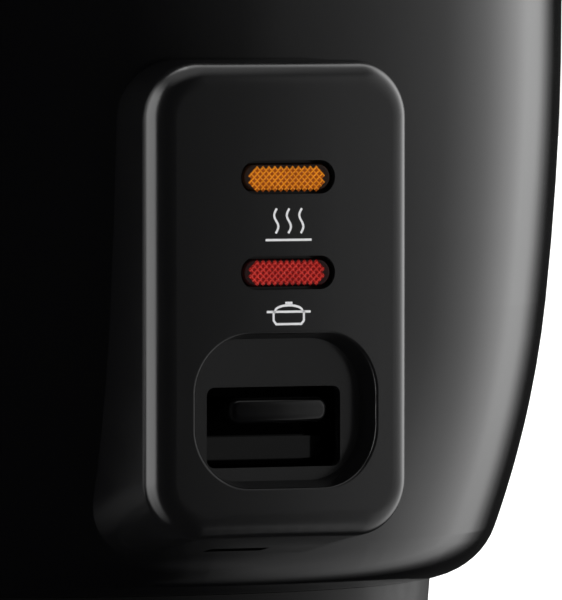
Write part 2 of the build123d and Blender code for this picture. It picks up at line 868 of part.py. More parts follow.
def make_lever_tab():
    front = face_y + tab_set_back
    outline = RectangleRounded(tab_width, tab_height, tab_corner)
    nose = extrude(inward(front, tab_z) * outline, shield_y - front + 0.5)
    nose = nose & Pos(0, front + tab_bow, tab_z) * Cylinder(tab_bow, 2 * tab_height)
    nose = fillet(nose.faces().sort_by(Axis.Y)[0].edges(), tab_edge)
    half = shield_width / 2
    shield = block((-half, half), (shield_y, shield_y + shield_thickness),
                   (shield_bottom, shield_top))
    step = block((-half, half), (shield_y - 1.2, shield_y + 0.2),
                 (step_z - step_height / 2, step_z + step_height / 2))
    solid = nose + shield + step
    for x in (-rivet_x, rivet_x):
        solid = solid - bar(small_screw, (x, shield_y - 4, tab_z), (x, shield_y + 5, tab_z))
    return solid


def make_tab_rivets():
    rivets = []
    back = lever_plate_y + lever_sheet / 2
    for x in (-rivet_x, rivet_x):
        shank = bar(small_screw, (x, shield_y - 4, tab_z), (x, back, tab_z))
        rivets.append(shank + bar(rivet_head, (x, back, tab_z), (x, back + 1, tab_z)))
    return rivets


def make_lever_bracket():
    half = bracket_inside / 2
    outer = half + bracket_sheet
    body = None
    for side in (-1, 1):
        wall_x = sorted((side * half, side * outer))
        flange_x = sorted((side * half, side * (outer + bracket_flange)))
        wall = block(wall_x, (bracket_front, bracket_back),
                     (bracket_floor - bracket_sheet, liner_bottom))
        back_cut = block(wall_x, (bracket_flange_back, bracket_back),
                         (bracket_floor + switch_height, liner_bottom))
        wall = wall - back_cut
        flange = block(flange_x, (bracket_front, bracket_flange_back),
                       (liner_bottom - bracket_sheet, liner_bottom))
        body = wall + flange if body is None else body + wall + flange
    floor = block((-outer, outer), (bracket_back - switch_length, bracket_back),
                  (bracket_floor - bracket_sheet, bracket_floor))
    body = body + floor
    front_cut = block((-outer - 1, outer + 1), (bracket_front - 1, pivot_y + 7),
                      (0, pivot_z - 6))
    body = body - front_cut - pivot_hole(0)
    for points in bracket_screw_points():
        body = body - bar(small_screw, *points)
    for points in switch_screw_points():
        body = body - bar(small_screw, *points)
    return body


def switch_screw_points():
    reach = bracket_inside / 2 + bracket_sheet
    z = bracket_floor + 3
    return [((reach, y, z), (-reach - 2, y, z))
            for y in (bracket_back - 4.5, bracket_back - switch_length + 4.5)]


def make_lever_pin():
    reach = bracket_inside / 2 + bracket_sheet + 2.4
    return bar(pin_radius, (-reach, pivot_y, pivot_z), (reach, pivot_y, pivot_z))


def make_pin_clips():
    clips = []
    for side in (-1, 1):
        inner = side * (bracket_inside / 2 + bracket_sheet)
        clip = bar(2 * pin_radius, (inner, pivot_y, pivot_z), (inner + side * 1.0, pivot_y, pivot_z))
        mouth = block((-20, 20), (pivot_y - 1.5, pivot_y + 1.5), (pivot_z, pivot_z + 9))
        clips.append(clip - pivot_hole(0) - mouth)
    return clips


# ---- microswitch ----
def plunger_place():
    return 0.0, bracket_back - switch_length + 7


def make_microswitch():
    half = bracket_inside / 2
    solid = block((-half, half), (bracket_back - switch_length, bracket_back),
                  (bracket_floor, bracket_floor + switch_height))
    x, y = plunger_place()
    solid = solid - disc(plunger_radius + 0.3, bracket_floor + 6, bracket_floor + 12, x, y)
    for points in switch_screw_points():
        solid = solid - bar(small_screw, *points)
    return solid


def make_plunger():
    x, y = plunger_place()
    tip = lever_low - lever_sheet / 2 - plunger_gap
    solid = disc(plunger_radius, bracket_floor + 6, tip, x, y)
    return fillet(solid.edges().sort_by(Axis.Z)[-1], 0.5)


def make_switch_terminals():
    z = bracket_floor + switch_terminal_rise
    return [block((x - 0.4, x + 0.4), (bracket_back, bracket_back + 5), (z - 2.4, z + 2.4))
            for x in (-switch_terminal_x, switch_terminal_x)]


# ---- panel lamps ----
def make_lens(z):
    front = face_y + lens_recess
    size = (lens_hole_length - 2 * lens_gap, lens_hole_height - 2 * lens_gap)
    stem = extrude(inward(front, z) * SlotOverall(*size), lens_back - front)
    stem = fillet(stem.faces().sort_by(Axis.Y)[0].edges(), 0.5)
    flange = SlotOverall(lens_hole_length + 2 * lens_flange, lens_hole_height + 2 * lens_flange)
    return stem + extrude(inward(wall_y, z) * flange, lens_flange_thickness)


def lamp_y():
    return holder_back() - lamp_radius


def holder_back():
    return wall_y + holder_depth


def make_lamp_holder():
    high, low = lens_heights[0] + holder_margin, lens_heights[1] - holder_margin
    half, inner = holder_half_width, holder_half_width - holder_sheet
    solid = block((-half, half), (lens_back, holder_back() + holder_sheet), (low, high))
    middle = (lens_heights[0] + lens_heights[1]) / 2
    web = holder_sheet / 2
    for z_limits in ((low + holder_sheet, middle - web), (middle + web, high - holder_sheet)):
        solid = solid - block((-inner, inner), (lens_back - 1, holder_back()), z_limits)
    for x, z in peg_points():
        ear = block((x - holder_ear, x + holder_ear), (lens_back, lens_back + holder_sheet),
                    (z - holder_ear, z + holder_ear))
        solid = solid + ear
        solid = solid - bar(peg_radius, (x, lens_back - 1, z), (x, lens_back + peg_length, z))
    return solid


def make_lamp(z):
    half = lamp_length / 2 - lamp_radius
    glass = bar(lamp_radius, (-half, lamp_y(), z), (half, lamp_y(), z))
    for x in (-half, half):
        glass = glass + Pos(x, lamp_y(), z) * Sphere(lamp_radius)
    return glass


def resistor_y():
    return holder_back() + holder_sheet + resistor_radius


def make_resistors():
    half, y = resistor_length / 2, resistor_y()
    return [bar(resistor_radius, (-half, y, z), (half, y, z)) for z in lens_heights]


# ---- lid ----
def crown(radius, height, base):
    """A dome's arc, from its edge at base to the axis."""
    sphere = (radius ** 2 + height ** 2) / (2 * height)
    middle = math.asin(radius / sphere) / 2
    centre = base + height - sphere
    half_way = (sphere * math.sin(middle), centre + sphere * math.cos(middle))
    return ThreePointArc((radius, base), half_way, (0, base + height))


def dome(radius, height, base):
    """A dome cap's solid: a circle of radius at base rising by height."""
    skirt = Polyline((0, base + height), (0, base - 1), (radius, base - 1), (radius, base))
    return turned(crown(radius, height, base), skirt)


def lid_glass_limits():
    skirt_outer = pot_inside - lid_clearance
    outer = skirt_outer + lid_rim_width
    bottom = pot_top + lid_sheet
    return outer - lid_sheet, bottom, bottom + glass_thickness


def glass_apex():
    return lid_glass_limits()[2] + glass_rise


def outer_dome():
    edge, bottom, top = lid_glass_limits()
    return dome(edge - glass_flat, glass_rise, top)


def inner_dome():
    edge, bottom, top = lid_glass_limits()
    return dome(edge - glass_flat - 2, glass_rise, bottom)


def glass_plate():
    edge, bottom, top = lid_glass_limits()
    return disc(edge, bottom, top) + outer_dome() - inner_dome()


def vent_plane():
    edge, bottom, top = lid_glass_limits()
    radius = edge - glass_flat
    sphere = (radius ** 2 + glass_rise ** 2) / (2 * glass_rise)
    centre = top + glass_rise - sphere
    tilt = math.asin(vent_radius / sphere)
    height = centre + sphere * math.cos(tilt)
    return Plane(origin=(vent_radius, 0, height), z_dir=(math.sin(tilt), 0, math.cos(tilt)))


def make_lid_glass():
    solid = glass_plate() - disc(knob_screw_radius + 0.5, 0, glass_apex() + 5)
    hole = extrude(vent_plane() * Circle(vent_bore + vent_wall), 10, both=True)
    return solid - hole


def make_vent_eyelet(glass):
    collar = extrude(vent_plane().offset(0.8) * Circle(vent_collar), -glass_thickness - 1.8)
    bore = extrude(vent_plane() * Circle(vent_bore), 15, both=True)
    return collar - glass - bore


def make_lid_rim():
    edge, bottom, top = lid_glass_limits()
    skirt = pot_inside - lid_clearance
    inner = skirt - lid_sheet
    cover = edge - lid_rim_lip
    outside = edge + lid_sheet
    return turned_polygon(
        (inner, pot_top - lid_skirt), (skirt, pot_top - lid_skirt), (skirt, pot_top),
        (outside, pot_top), (outside, top + lid_sheet), (cover, top + lid_sheet), (cover, top),
        (edge, top), (edge, bottom), (inner, bottom))


def knob_bottom():
    return glass_apex() + 1.2


def make_knob_seal():
    bottom = glass_apex() - 2
    seal = disc(knob_foot - 2, bottom, knob_bottom())
    return seal - outer_dome() - disc(knob_screw_radius + 0.5, 0, knob_bottom() + 1)


def make_knob_foot():
    low = knob_bottom()
    solid = turned_polygon((0, low), (knob_foot, low), (knob_foot, low + knob_foot_height / 2),
                           (knob_neck + 1, low + knob_foot_height), (0, low + knob_foot_height))
    return solid - disc(knob_screw_radius + 0.1, 0, low + 10)


def make_knob():
    low = knob_bottom() + knob_foot_height
    high = knob_bottom() + knob_height
    brim = high - knob_crown
    belly = brim - knob_band
    waist = (knob_neck + 0.15 * (knob_radius - knob_neck), (low + belly) / 2)
    solid = turned(
        Polyline((0, high), (0, low), (knob_neck, low)),
        ThreePointArc((knob_neck, low), waist, (knob_radius, belly)),
        Line((knob_radius, belly), (knob_radius, brim)),
        crown(knob_radius, knob_crown, brim),
    )
    return solid - disc(knob_screw_radius, low - 1, low + 11)


def knob_washer_limits():
    inside = lid_glass_limits()[1] + glass_rise
    return inside - 2.4, inside + 1


def make_knob_washer():
    low, high = knob_washer_limits()
    washer = disc(9, low, high) & inner_dome()
    return washer - disc(knob_screw_radius + 0.2, low - 1, high + 1)


def make_knob_screw():
    low = knob_washer_limits()[0]
    tip = knob_bottom() + knob_foot_height + 11
    return screw((0, 0, low), (0, 0, tip), knob_screw_radius)


# ---- wiring ----
def make_live_wire():
    tail = liner_radius - 1 - blade_tail
    z = bracket_floor + switch_terminal_rise
    x, y = -switch_terminal_x, bracket_back + 5
    return wire([(-blade_spacing, tail, inlet_z), (-blade_spacing, tail - 12, inlet_z),
                 (-21, tail - 26, 20), (-20, 24, z), (x, y + 12, z), (x, y, z)],
                (10, 12, 14, 9))


def make_switch_wire():
    z = bracket_floor + switch_terminal_rise
    x, y = element_ends()[0]
    low = liner_bottom - 9
    return wire([(switch_terminal_x, bracket_back + 5, z), (switch_terminal_x, bracket_back + 18, z),
                 (x, y - 12, z), (x, y, z), (x, y, low)], (10, 12, 6))


def make_neutral_wire():
    tail = liner_radius - 1 - blade_tail
    x, y = element_ends()[1]
    low = liner_bottom - 9
    return wire([(blade_spacing, tail, inlet_z), (blade_spacing, tail - 10, inlet_z),
                 (x, y + 7, 17), (x, y, 17), (x, y, low)], (8, 5, 4))


def make_lamp_wires():
    y = resistor_y()
    gap_y = -(liner_radius + 2.2)
    x, block_y = block_x, block_front
    wires = []
    for side, z in zip((-1, 1), lens_heights):
        wires.append(wire([(side * resistor_length / 2, y, z), (side * 10, y, z),
                           (side * 12, gap_y, z - 12), (side * 13, gap_y, liner_bottom - 1),
                           (side * 17, gap_y + 15, 25), (side * 28, gap_y + 44, 24),
                           (side * x, block_y - 14, 24), (side * x, block_y, 24)],
                          (5, 12, 10, 14, 16, 12)))
    return wires


def make_thermostat():
    can_bottom = liner_bottom - thermostat_can
    base_bottom = can_bottom - thermostat_base
    middle = block_front + block_depth / 2
    can = disc(thermostat_radius, can_bottom, liner_bottom, -block_x, middle)
    base = disc(0.8 * thermostat_radius, base_bottom, can_bottom, -block_x, middle)
    tabs = block((-block_x - 1, -block_x + 1), (block_front, block_front + block_depth),
                 (base_bottom - thermostat_base, base_bottom))
    return can + base + tabs


def make_terminal_block():
    solid = block((block_x - block_half_width, block_x + block_half_width),
                  (block_front, block_front + block_depth), (liner_bottom - block_height, liner_bottom))
    return chamfer(solid.edges().filter_by(Axis.Z), 1)


def make_earth_strap():
    front = liner_radius - 1 - blade_tail
    low = inlet_z - blade_drop
    y = earth_screw_points()[0][1]
    strap = ribbon([(front, low), (front - 4, low), (front - 4, liner_bottom - 0.5),
                    (y - 4, liner_bottom - 0.5)], 1.0, 6)
    return strap - bar(small_screw, *earth_screw_points())


# ---- assembly ----
def make_small_screws():
    places = [panel_screw_points(side) for side in (-1, 1)]
    places += [inlet_screw_points(side) for side in (-1, 1)]
    places += bracket_screw_points() + sensor_screw_points()
    places += [fuse_screw_points(), earth_screw_points()]
    return [screw(seat, tip, small_screw) for seat, tip in places]


def group(solids):
    return Compound(children=[Solid(item.solids()[0].wrapped) for item in solids])


def main():
    envelope = body_solid(0)
    element = make_element()
    fuse = make_thermal_fuse()
    glass = make_lid_glass()
    parts = {
        "outer_shell": make_outer_shell(envelope),
        "top_ring": make_top_ring(),
        "inner_liner": make_inner_liner(),
        "base_cover": make_base_cover(),
        "rubber_feet": group(make_rubber_feet()),
        "base_screws": group(make_base_screws()),
        "left_handle": make_handle(-1, envelope),
        "right_handle": make_handle(1, envelope),
        "large_screws": group(make_handle_screws() + make_plate_screws()),
        "panel_housing": make_panel_housing(envelope),
        "small_screws": group(make_small_screws()),
        "keep_warm_lens": make_lens(lens_heights[0]),
        "cook_lens": make_lens(lens_heights[1]),
        "lamp_holder": make_lamp_holder(),
        "keep_warm_lamp": make_lamp(lens_heights[0]),
        "cook_lamp": make_lamp(lens_heights[1]),
        "lamp_resistors": group(make_resistors()),
        "lamp_wires": group(make_lamp_wires()),
        "heating_plate": make_heating_plate(element),
        "heating_element": element,
        "element_terminals": group(make_element_terminals()),
        "plate_standoffs": group(make_plate_standoffs()),
        "keep_warm_heater": make_keep_warm_heater(),
        "thermal_fuse": fuse,
        "fuse_clip": make_fuse_clip(fuse),
        "keep_warm_thermostat": make_thermostat(),
        "terminal_block": make_terminal_block(),
        "sensor_cup": make_sensor_cup(),
        "sensor_cap": make_sensor_cap(),
        "sensor_ferrite": disc(ferrite_radius, ferrite_bottom, ferrite_bottom + ferrite_thickness),
        "cap_spring": coil(cap_spring_radius, sensor_cup_bottom + liner_sheet,
                           plate_top - cap_top_thickness, 5),
        "return_spring": coil(return_spring_radius, holder_bottom + 0.8,
                              plate_top - cap_top_thickness, 4),
        "magnet": disc(magnet_radius, holder_bottom + holder_wall, magnet_top),
        "magnet_holder": make_magnet_holder(),
        "pull_rod": make_pull_rod(),
        "rod_clip": disc(clip_radius, clip_bottom(), clip_bottom() + clip_thickness)
        - disc(rod_radius, 0, plate_top),
        "switch_lever": make_switch_lever(),
        "lever_tab": make_lever_tab(),
        "tab_rivets": group(make_tab_rivets()),
        "lever_bracket": make_lever_bracket(),
        "lever_pin": make_lever_pin(),
        "pin_clips": group(make_pin_clips()),
        "microswitch": make_microswitch(),
        "microswitch_plunger": make_plunger(),
        "switch_screws": group([screw(*points, small_screw) for points in switch_screw_points()]),
        "switch_terminals": group(make_switch_terminals()),
        "inlet_socket": make_inlet_socket(envelope),
        "inlet_blades": group(blades()),
        "earth_strap": make_earth_strap(),
        "power_wires": group([make_live_wire(), make_neutral_wire(), make_switch_wire()]),
        "inner_pot": make_inner_pot(),
        "lid_glass": glass,
        "lid_rim": make_lid_rim(),
        "vent_eyelet": make_vent_eyelet(glass),
        "lid_knob": make_knob(),
        "knob_foot": make_knob_foot(),
        "knob_seal": make_knob_seal(),
        "knob_washer": make_knob_washer(),
        "knob_screw": make_knob_screw(),
    }
    os.makedirs("parts", exist_ok=True)
    for name, shape in parts.items():
        export_step(shape, f"parts/{name}.step")


main()
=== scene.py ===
import math

import bpy
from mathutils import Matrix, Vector
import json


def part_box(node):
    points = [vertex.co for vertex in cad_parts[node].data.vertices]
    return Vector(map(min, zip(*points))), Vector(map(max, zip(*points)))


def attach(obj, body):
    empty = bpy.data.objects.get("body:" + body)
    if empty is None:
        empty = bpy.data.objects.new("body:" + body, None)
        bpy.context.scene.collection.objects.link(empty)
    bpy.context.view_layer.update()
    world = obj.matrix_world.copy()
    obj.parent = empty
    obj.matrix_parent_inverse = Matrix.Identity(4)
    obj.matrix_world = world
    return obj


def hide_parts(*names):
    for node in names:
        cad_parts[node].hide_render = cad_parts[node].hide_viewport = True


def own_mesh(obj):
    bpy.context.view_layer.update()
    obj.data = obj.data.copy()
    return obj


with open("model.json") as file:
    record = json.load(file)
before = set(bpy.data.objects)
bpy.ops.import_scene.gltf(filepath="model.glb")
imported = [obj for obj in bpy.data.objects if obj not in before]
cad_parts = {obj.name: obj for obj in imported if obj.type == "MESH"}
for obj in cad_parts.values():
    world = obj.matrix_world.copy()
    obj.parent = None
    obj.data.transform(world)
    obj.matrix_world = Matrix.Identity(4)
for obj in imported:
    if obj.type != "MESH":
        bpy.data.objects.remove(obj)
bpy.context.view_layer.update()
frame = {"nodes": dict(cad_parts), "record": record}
nodes = frame["nodes"]
scene = bpy.context.scene
MM = 0.001


# ---- camera ----
def add_camera():
    """A long lens, a little above the switch and to the left of the panel's normal."""
    azimuth, elevation = math.radians(-27.0), math.radians(1.6)
    distance = 2.0
    view_height = 107.7 * MM
    aim_right, aim_up = 49.7 * MM, 61.4 * MM
    across = Vector((math.cos(azimuth), math.sin(azimuth), 0))
    target = across * aim_right + Vector((0, 0, aim_up))
    back = Vector((math.sin(azimuth) * math.cos(elevation),
                   -math.cos(azimuth) * math.cos(elevation), math.sin(elevation)))
    data = bpy.data.cameras.new("camera")
    data.sensor_width = 36.0
    data.lens = data.sensor_width * distance / view_height
    data.clip_end = 40.0
    camera = bpy.data.objects.new("camera", data)
    camera.location = target + back * distance
    camera.rotation_euler = back.to_track_quat("Z", "Y").to_euler()
    scene.collection.objects.link(camera)
    scene.camera = camera


# ---- material nodes ----
class Finish:
    """A named Principled material and short ways to wire procedural detail into it."""

    def __init__(self, name, color, roughness=0.4, **sockets):
        self.material = bpy.data.materials.new(name)
        self.material.use_nodes = True
        self.tree = self.material.node_tree
        self.shader = self.tree.nodes["Principled BSDF"]
        self.set("Base Color", (*color, 1.0))
        self.set("Roughness", roughness)
        for key, value in sockets.items():
            self.set(key.replace("_", " "), value)
        self.height = None

    def set(self, socket, value):
        self.shader.inputs[socket].default_value = value

    def add(self, kind, **inputs):
        node = self.tree.nodes.new(kind)
        for key, value in inputs.items():
            self.feed(node, key, value)
        return node

    def feed(self, node, key, value):
        socket = node.inputs[int(key[1:])] if key[1:].isdigit() else node.inputs[key.replace("_", " ")]
        if isinstance(value, bpy.types.NodeSocket):
            self.tree.links.new(value, socket)
        else:
            socket.default_value = value

    def math(self, operation, first, second=0.0):
        node = self.add("ShaderNodeMath", _0=first, _1=second)
        node.operation = operation
        return node.outputs[0]

    def place(self):
        """Object coordinates: every piece and node sits at the origin, so these are places."""
        return self.add("ShaderNodeTexCoord").outputs["Object"]

    def noise(self, scale, detail=3.0, vector=None):
        node = self.add("ShaderNodeTexNoise", Vector=vector or self.place(), Scale=scale,
                        Detail=detail)
        return node.outputs[0]

    def remap(self, value, low, high, start=0.3, end=0.7):
        node = self.add("ShaderNodeMapRange", Value=value)
        node.inputs["From Min"].default_value = start
        node.inputs["From Max"].default_value = end
        node.inputs["To Min"].default_value = low
        node.inputs["To Max"].default_value = high
        return node.outputs[0]

    def mix(self, factor, first, second):
        node = self.add("ShaderNodeMix")
        node.data_type = "RGBA"
        self.feed(node, "_0", factor)
        for index, colour in ((6, first), (7, second)):
            value = colour if isinstance(colour, bpy.types.NodeSocket) else (*colour, 1.0)
            self.feed(node, f"_{index}", value)
        return node.outputs[2]

    def link(self, socket, value):
        self.tree.links.new(value, self.shader.inputs[socket])

    def bump(self, height, strength, depth):
        """Adds a height to the surface; depth is its full height in metres."""
        node = self.add("ShaderNodeBump", Height=height, Strength=strength, Distance=depth)
        if self.height is not None:
            self.tree.links.new(self.height, node.inputs["Normal"])
        self.height = node.outputs[0]
        self.tree.links.new(self.height, self.shader.inputs["Normal"])

    def radial(self):
        """(distance from the axis, 0, height): lines of constant value are turning marks."""
        split = self.add("ShaderNodeSeparateXYZ", Vector=self.place())
        flat = self.add("ShaderNodeCombineXYZ", X=split.outputs[0], Y=split.outputs[1])
        length = self.add("ShaderNodeVectorMath")
        length.operation = "LENGTH"
        self.tree.links.new(flat.outputs[0], length.inputs[0])
        joined = self.add("ShaderNodeCombineXYZ", X=length.outputs["Value"], Z=split.outputs[2])
        return joined.outputs[0]


def gloss_paint():
    """Baked enamel over sheet steel: deep gloss with a faint orange peel."""
    finish = Finish("shell_enamel", (0.0012, 0.0012, 0.0014), 0.09, IOR=1.5)
    finish.link("Roughness", finish.remap(finish.noise(40), 0.07, 0.12))
    finish.bump(finish.noise(420, 2.0), 0.05, 0.00004)
    return finish.material


def satin_plastic():
    """Spark-eroded moulding: an even fine grain that spreads the highlight."""
    finish = Finish("panel_satin", (0.0028, 0.0028, 0.003), 0.19, IOR=1.67)
    finish.link("Roughness", finish.remap(finish.noise(90, 4.0), 0.16, 0.21))
    finish.bump(finish.noise(2600, 2.0), 0.15, 0.00002)
    finish.bump(finish.noise(60, 2.0), 0.05, 0.00008)
    return finish.material


def smooth_plastic(name, tint=0.004, roughness=0.16, index=1.5):
    """Black moulding with an even skin, from polished to matt."""
    finish = Finish(name, (tint, tint, tint * 1.05), roughness, IOR=index)
    finish.link("Roughness", finish.remap(finish.noise(120, 4.0), roughness - 0.04, roughness + 0.04))
    finish.bump(finish.noise(300, 2.0), 0.05, 0.00005)
    return finish.material


def lever_plastic():
    """The tab's polished black, and painted shade on the shield behind it: dead black but for its
    step.
    """
    finish = Finish("tab_gloss_and_painted_shade", (0.0012, 0.0012, 0.0013), 0.1)
    finish.link("Roughness", finish.remap(finish.noise(60, 4.0), 0.07, 0.13))
    low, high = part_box("lever_tab")  # from the shield's foot to its back
    shield_front = high.y - 2.8 * MM
    step_foot, step_top = low.z + 4.3 * MM, low.z + 8.3 * MM
    split = finish.add("ShaderNodeSeparateXYZ", Vector=finish.place())
    # the painted shade goes on the shield behind the tab, but not on its step
    behind = finish.remap(split.outputs[1], 0.0, 1.0, shield_front, shield_front + 0.6 * MM)
    above = finish.remap(split.outputs[2], 0.5, 1.0, step_top, step_top + 0.2 * MM)
    below = finish.remap(split.outputs[2], 1.0, 0.5, step_foot - 0.2 * MM, step_foot)
    # painted shade: a metallic black this deep reflects next to nothing, so the shield behind the tab
    # stands dark in place of the recess's shade
    finish.link("Metallic", finish.math("MULTIPLY", behind, finish.math("MAXIMUM", above, below)))
    return finish.material


def lens_plastic(name, deep):
    """The lens's smooth border: clear tinted moulding over a dark surround."""
    finish = Finish(name, deep, 0.1, IOR=1.49)
    tone = finish.remap(finish.noise(300, 2.0), 0.0, 0.3)
    finish.link("Base Color", finish.mix(tone, deep, tuple(0.6 * c for c in deep)))
    finish.link("Roughness", finish.remap(finish.noise(150), 0.08, 0.14))
    return finish.material


def lens_facet_finish(name, level, highlight_colour, deep, painted_glow):
    """Painted highlights on the lines where the facets meet and painted shade in their middles, level
    with one lens; the pattern glows faintly as painted light.
    """
    finish = Finish(name, highlight_colour, 0.2, IOR=1.3)
    split = finish.add("ShaderNodeSeparateXYZ", Vector=finish.place())
    height = finish.math("SUBTRACT", split.outputs[2], level)
    painted_highlight_lines = None
    for sign in ("ADD", "SUBTRACT"):
        run = finish.math(sign, split.outputs[0], height)
        cells = finish.math("DIVIDE", run, FACET_PITCH * math.sqrt(2))
        away = finish.math("ABSOLUTE", finish.math("SUBTRACT", finish.math("FRACT", cells), 0.5))
        line = finish.remap(away, 1.0, 0.0, 0.02, 0.24)
        painted_highlight_lines = line if painted_highlight_lines is None else finish.math("MAXIMUM", painted_highlight_lines, line)
    spread = finish.remap(finish.noise(260, 2.0), 0.55, 1.0)
    # painted highlights on the lines and painted shade in the pits, mixed into the colour
    tone = finish.mix(finish.math("MULTIPLY", painted_highlight_lines, spread), deep, highlight_colour)
    finish.link("Base Color", tone)
    # the painted highlight pattern also glows faintly: painted light
    finish.link("Emission Color", tone)
    finish.set("Emission Strength", painted_glow)
    return finish.material


def turned_metal(name, colour, rough=(0.22, 0.34), lines=2600.0, depth=0.00002):
    """Metal with fine marks that run round the axis."""
    finish = Finish(name, colour, 0.3, Metallic=1.0)
    marks = finish.noise(lines, 2.0, finish.radial())
    finish.link("Roughness", finish.remap(marks, *rough))
    finish.bump(marks, 0.35, depth)
    tone = finish.remap(finish.noise(14, 3.0), 0.0, 0.25)
    finish.link("Base Color", finish.mix(tone, colour, tuple(c * 0.8 for c in colour)))
    return finish.material


def sheet_metal(name, colour, rough=(0.28, 0.42), grain=55.0):
    """Plated sheet or wire: soft crystal patches and a light rolled grain."""
    finish = Finish(name, colour, 0.35, Metallic=1.0)
    patches = finish.add("ShaderNodeTexVoronoi", Vector=finish.place(), Scale=grain * 3)
    tone = finish.remap(patches.outputs["Distance"], 0.0, 0.3, 0.1, 0.6)
    finish.link("Base Color", finish.mix(tone, colour, tuple(c * 0.75 for c in colour)))
    finish.link("Roughness", finish.remap(finish.noise(grain * 4, 4.0), *rough))
    finish.bump(finish.noise(900, 2.0), 0.15, 0.00002)
    return finish.material


def moulded(name, colour, roughness=0.5):
    """Plain matt moulding, ceramic, rubber or insulation."""
    finish = Finish(name, colour, roughness)
    tone = finish.remap(finish.noise(70, 4.0), 0.0, 0.2)
    finish.link("Base Color", finish.mix(tone, colour, tuple(c * 0.8 for c in colour)))
    finish.link("Roughness", finish.remap(finish.noise(200, 3.0), roughness - 0.06, roughness + 0.06))
    finish.bump(finish.noise(1500.0, 2.0), 0.2, 0.00004)
    return finish.material


def clear_glass():
    finish = Finish("lid_glass_clear", (0.93, 0.98, 0.96), 0.02, IOR=1.5, Transmission_Weight=1.0)
    finish.link("Roughness", finish.remap(finish.noise(30), 0.01, 0.03))
    finish.bump(finish.noise(16, 2.0), 0.04, 0.0002)
    return finish.material


def pot_finish():
    """Brushed aluminium outside and a speckled dark non-stick coat inside."""
    finish = Finish("pot_coated", (0.6, 0.6, 0.61), 0.3)
    low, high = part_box("inner_pot")
    place = finish.radial()
    split = finish.add("ShaderNodeSeparateXYZ", Vector=place)
    wall_middle = high.x - 10.25 * MM
    floor_middle = low.z + 0.75 * MM
    inside = finish.math("LESS_THAN", split.outputs[0], wall_middle)
    above = finish.math("GREATER_THAN", split.outputs[2], floor_middle)
    coat = finish.math("MULTIPLY", inside, above)
    specks = finish.add("ShaderNodeTexVoronoi", Vector=finish.place(), Scale=900.0)
    speck = finish.remap(specks.outputs["Distance"], 1.0, 0.0, 0.05, 0.22)
    dark = finish.mix(speck, (0.022, 0.022, 0.024), (0.16, 0.16, 0.165))
    marks = finish.noise(2200, 2.0, place)
    finish.link("Base Color", finish.mix(coat, (0.62, 0.62, 0.63), dark))
    finish.link("Metallic", finish.math("SUBTRACT", 1.0, coat))
    finish.link("Roughness", finish.remap(marks, 0.26, 0.4))
    finish.bump(marks, 0.2, 0.00002)
    return finish.material


def printed_ink():
    finish = Finish("label_ink", (0.68, 0.68, 0.69), 0.5)
    finish.link("Base Color", finish.mix(finish.remap(finish.noise(1500), 0.0, 0.25),
                                         (0.68, 0.68, 0.69), (0.56, 0.56, 0.57)))
    return finish.material


AMBER = (0.72, 0.24, 0.012)
AMBER_DEEP = (0.2, 0.042, 0.002)
RED = (0.46, 0.03, 0.022)
RED_DEEP = (0.13, 0.004, 0.004)
FACET_PITCH = 0.8 * MM
FACET_RISE = 0.25 * MM
FACET_FIELD_LENGTH = 14.2 * MM
FACET_FIELD_HEIGHT = 3.7 * MM


def make_finishes():
    zinc = (0.60, 0.60, 0.59)
    return {
        "shell_black": gloss_paint(),
        "panel_black": satin_plastic(),
        "gloss_black": smooth_plastic("polished_black"),
        "base_cover": smooth_plastic("base_black_matt", 0.0015, 0.42, 1.32),
        "tab_black": lever_plastic(),
        "steel_trim": turned_metal("trim_steel", (0.62, 0.62, 0.63)),
        "liner_steel": sheet_metal("zinc_spangle", (0.55, 0.56, 0.58), grain=18.0),
        "spring_steel": sheet_metal("spring_wire", (0.45, 0.45, 0.47), grain=120.0),
        "zinc_steel": sheet_metal("zinc_plate", zinc, grain=80.0),
        "pot_metal": pot_finish(),
        "cast_aluminium": turned_metal("machined_aluminium", (0.66, 0.66, 0.67), (0.3, 0.42), 1300.0,
                                       0.00006),
        "element_steel": moulded("oxidised_sheath", (0.10, 0.09, 0.085), 0.55),
        "lid_glass": clear_glass(),
        "rubber_black": moulded("rubber_feet", (0.02, 0.02, 0.02), 0.75),
        "silicone": moulded("silicone_seal", (0.62, 0.62, 0.60), 0.5),
        "lens_amber": lens_plastic("lens_amber_border", (0.012, 0.004, 0.001)),
        "lens_red": lens_plastic("lens_red_border", (0.012, 0.001, 0.001)),
        "lamp_glass": moulded("neon_glass", (0.8, 0.6, 0.45), 0.2),
        "white_plastic": moulded("white_moulding", (0.74, 0.73, 0.70), 0.45),
        "tan_ceramic": moulded("tan_ceramic", (0.5, 0.42, 0.32), 0.6),
        "ferrite": moulded("ground_ferrite", (0.04, 0.04, 0.045), 0.5),
        "magnet_alloy": sheet_metal("magnet_alloy", (0.3, 0.3, 0.31)),
        "brass": sheet_metal("stamped_brass", (0.78, 0.57, 0.24), grain=90.0),
        "mica": moulded("mica_sheet", (0.48, 0.38, 0.24), 0.5),
        "wire_white": moulded("white_insulation", (0.72, 0.72, 0.70), 0.4),
        "wire_red": moulded("red_insulation", (0.5, 0.03, 0.02), 0.4),
    }


def dress_nodes(finishes):
    slots = {item["node"]: item["material_slot"] for item in frame["record"]["subparts"]}
    for name, node in nodes.items():
        # a node's own finish where it has one, else its slot's
        finish = finishes.get(name, finishes[slots[name]])
        if node.data.materials:
            for index in range(len(node.data.materials)):
                node.data.materials[index] = finish
        else:
            node.data.materials.append(finish)


# ---- ways to make a piece ----
def blank_tree(name, *sizes):
    """A geometry tree that takes the named sizes, a place and a finish, and gives a mesh."""
    tree = bpy.data.node_groups.new(name, "GeometryNodeTree")
    sockets = [(size, "NodeSocketFloat") for size in sizes]
    sockets += [("Place", "NodeSocketVector"), ("Finish", "NodeSocketMaterial")]
    for label, kind in sockets:
        tree.interface.new_socket(label, in_out="INPUT", socket_type=kind)
    tree.interface.new_socket("Geometry", in_out="OUTPUT", socket_type="NodeSocketGeometry")
    return tree


